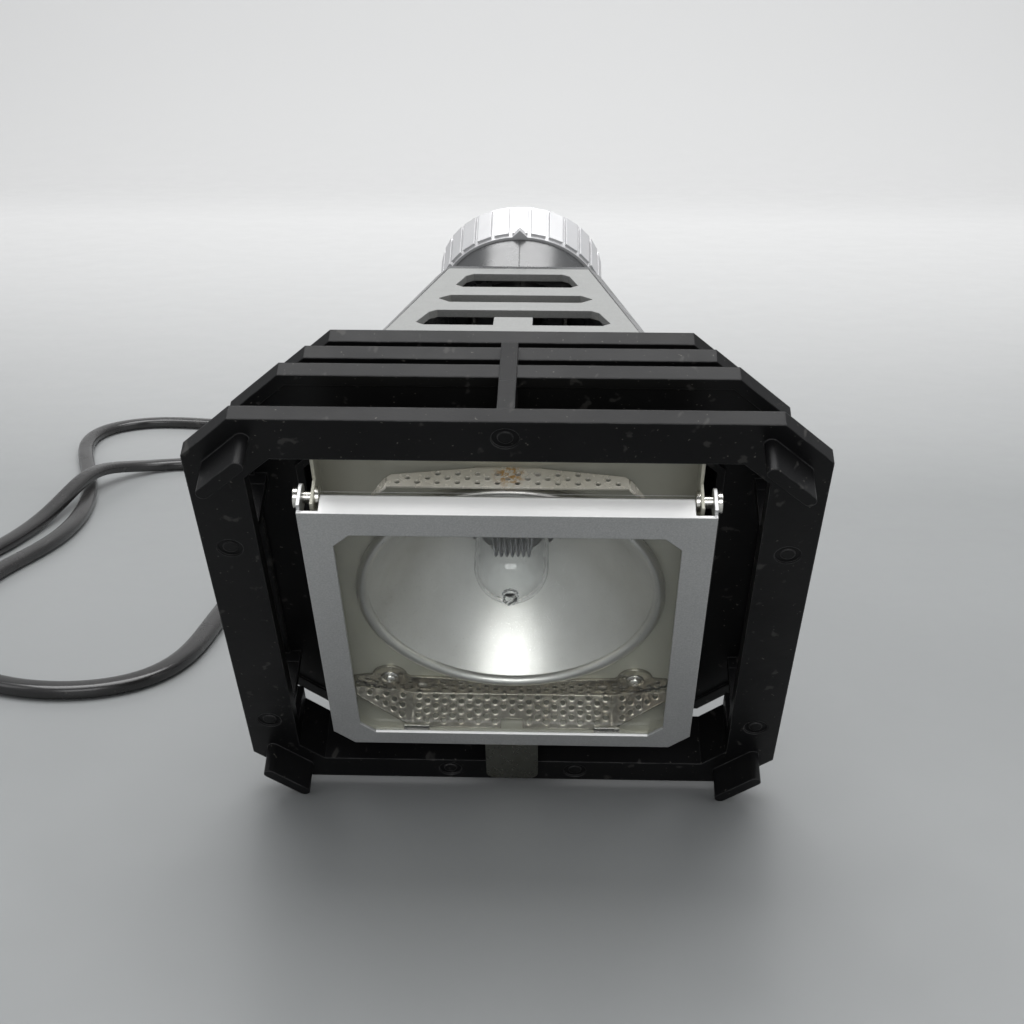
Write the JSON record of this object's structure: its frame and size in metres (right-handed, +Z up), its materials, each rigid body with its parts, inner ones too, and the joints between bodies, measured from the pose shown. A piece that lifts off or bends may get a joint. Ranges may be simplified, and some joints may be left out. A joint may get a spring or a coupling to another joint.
{
  "type": "hand-held halogen photo lamp",
  "caption": "Hand-held halogen lamp for movie and photo work, with finned octagonal guard, hinged glass door, spun reflector, focus ring, pistol grip and mains lead.",
  "frame": {"origin": "on the surface it stands on, below the middle of the lamp's box, the cord and what is on it left out", "axes": "+Z up, -Y the way the lamp faces as it rests on its guard and grip, +X to the right as seen from in front"},
  "size_m": [0.4093, 0.4609, 0.1545],
  "materials": {
    "black_moulding": "satin moulded phenolic",
    "shell_moulding": "fine matt texture",
    "vent_paint": "dark grey hammer paint",
    "door_paint": "silver hammer paint",
    "pan_enamel": "cream enamel",
    "screen_steel": "heat-dulled plated steel",
    "mirror_aluminium": "satin spun",
    "pane_glass": "clear heat-proof",
    "bulb_glass": "clear quartz",
    "tungsten": "dull",
    "ceramic": "steatite",
    "plated_steel": "nickel plate",
    "sheet_steel": "zinc plate",
    "cast_alloy": "as cast",
    "ring_alloy": "satin anodised",
    "switch_plastic": "polished",
    "brass": "turned",
    "cord_sheath": "soft sheen"
  },
  "bodies": {
    "lamp_body": {"front_guard": "black_moulding", "guard_fins": "black_moulding", "guard_sleeve": "black_moulding", "guard_rear": "black_moulding", "lamp_pan": "pan_enamel", "reflector": "mirror_aluminium", "top_screen": "screen_steel", "bottom_screen": "screen_steel", "screen_screws": "plated_steel", "hinge_rivets": "plated_steel", "guide_rods": "plated_steel", "mount_plate": "sheet_steel", "mount_plate_screws": "plated_steel", "shell_left": "shell_moulding", "shell_right": "shell_moulding", "shell_screws": "plated_steel", "guard_screws": "plated_steel", "vent_cover": "vent_paint", "switch_body": "switch_plastic", "terminal_block": "ceramic", "butt_plate": "black_moulding", "butt_screws": "plated_steel", "tripod_bush": "brass", "cord_gland": "black_moulding", "strain_relief": "cord_sheath", "cord": "cord_sheath", "cord_coil": "cord_sheath", "plug": "cord_sheath", "plug_pins": "brass"},
    "door": {"door_frame": "door_paint", "door_glass": "pane_glass", "glass_clips": "plated_steel", "finger_tab": "plated_steel"},
    "focus_control": {"focus_ring": "ring_alloy", "focus_spindle": "plated_steel"},
    "bulb_carriage": {"focus_carriage": "cast_alloy", "lamp_holder": "ceramic", "bulb_base": "ceramic", "bulb_pins": "plated_steel", "bulb_envelope": "bulb_glass", "bulb_filament": "tungsten"},
    "rocker": {"switch_rocker": "switch_plastic"}
  },
  "joints": [
    {"name": "door_hinge", "type": "hinge", "parent": "lamp_body", "child": "door", "pos_m": [0, -0.07811, 0.10345], "axis": [-1, 0, 0], "range_deg": [0, 100]},
    {"name": "focus_turn", "type": "hinge", "parent": "lamp_body", "child": "focus_control", "pos_m": [0, 0.04678, 0.12704], "axis": [0, 0.8572, 0.515], "range_deg": [0, 120]},
    {"name": "bulb_slide", "type": "slide", "parent": "lamp_body", "child": "bulb_carriage", "axis": [0, 0.8572, 0.515], "range_m": [0, 0.009]},
    {"name": "rocker_tip", "type": "hinge", "parent": "lamp_body", "child": "rocker", "pos_m": [0, 0.04229, 0.05059], "axis": [1, 0, 0], "range_deg": [0, 14]}
  ],
  "couplings": [
    {"joint": "bulb_slide", "follows": "focus_turn", "m_per_rad": 0.0042968}
  ]
}
